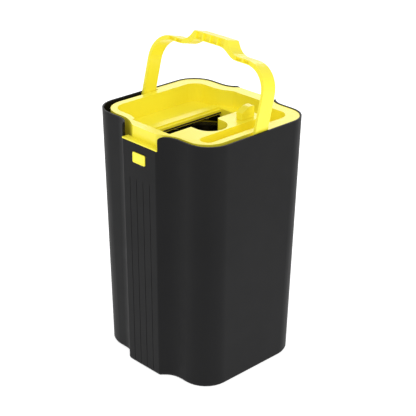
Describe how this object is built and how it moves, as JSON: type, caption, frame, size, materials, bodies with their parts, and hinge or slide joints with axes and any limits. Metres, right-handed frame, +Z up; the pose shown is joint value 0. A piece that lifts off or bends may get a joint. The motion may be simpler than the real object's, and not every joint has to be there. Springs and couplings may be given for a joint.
{
  "type": "spin mop bucket",
  "caption": "Tall square mop bucket with a lift-out top insert, a slot for a flat mop head, a steel spin basket and a folding carrying handle.",
  "frame": {"origin": "centre of the footprint, on the floor under the rubber feet", "axes": "+Z up, -Y towards the front panel with the release button, +X towards the plain right side; the handle's pivot line runs along X"},
  "size_m": [0.241, 0.2386, 0.4879],
  "materials": {
    "black_plastic": "satin black moulded plastic",
    "yellow_plastic": "semi-gloss yellow moulded plastic",
    "rubber": "soft black rubber",
    "steel": "plain steel",
    "polished_steel": "polished stainless sheet",
    "bronze": "sintered bronze",
    "nylon": "natural nylon"
  },
  "bodies": {
    "bucket": {"outer_bucket": "black_plastic", "foot_front_left": "rubber", "foot_front_right": "rubber", "foot_back_left": "rubber", "foot_back_right": "rubber", "spindle_pedestal": "black_plastic", "pedestal_screw_1": "steel", "pedestal_screw_2": "steel", "pedestal_screw_3": "steel", "lower_bearing": "bronze", "upper_bearing": "bronze", "thrust_washer": "nylon", "button_keeper": "black_plastic"},
    "drain_plug": {"drain_plug": "rubber"},
    "basket": {"spindle_shaft": "steel", "basket_hub": "black_plastic", "spin_basket": "polished_steel", "basket_screw_1": "steel", "basket_screw_2": "steel", "basket_screw_3": "steel", "basket_screw_4": "steel", "hub_nut": "steel", "hub_cap": "black_plastic"},
    "insert": {"top_insert": "yellow_plastic", "scraper_bar": "yellow_plastic", "scraper_blade": "rubber", "scraper_screw_1": "steel", "scraper_screw_2": "steel", "scraper_screw_3": "steel", "pivot_pin_left": "steel", "pivot_clip_left": "steel", "pivot_pin_right": "steel", "pivot_clip_right": "steel"},
    "handle": {"carry_handle": "yellow_plastic"},
    "knob": {"deck_knob": "yellow_plastic", "knob_washer": "nylon", "knob_screw": "steel"},
    "button": {"release_button": "yellow_plastic", "button_spring": "steel"}
  },
  "joints": [
    {"name": "insert_lift", "type": "slide", "parent": "bucket", "child": "insert", "axis": [0, 0, 1], "range_m": [0, 0.1]},
    {"name": "handle_fold", "type": "hinge", "parent": "insert", "child": "handle", "pos_m": [0, 0, 0.3705], "axis": [1, 0, 0], "range_deg": [0, 90]},
    {"name": "knob_turn", "type": "hinge", "parent": "insert", "child": "knob", "pos_m": [0.0627, 0.0255, 0.3792], "axis": [0, 0, 1], "range_deg": [0, 90]},
    {"name": "basket_spin", "type": "hinge", "parent": "bucket", "child": "basket", "pos_m": [0, 0, 0.05], "axis": [0, 0, 1], "continuous": true},
    {"name": "button_press", "type": "slide", "parent": "bucket", "child": "button", "axis": [0, 1, 0], "range_m": [0, 0.003], "stiffness_N_per_m": 800, "springref_m": -0.001},
    {"name": "drain_pull", "type": "slide", "parent": "bucket", "child": "drain_plug", "axis": [0, 1, 0], "range_m": [0, 0.03]}
  ]
}
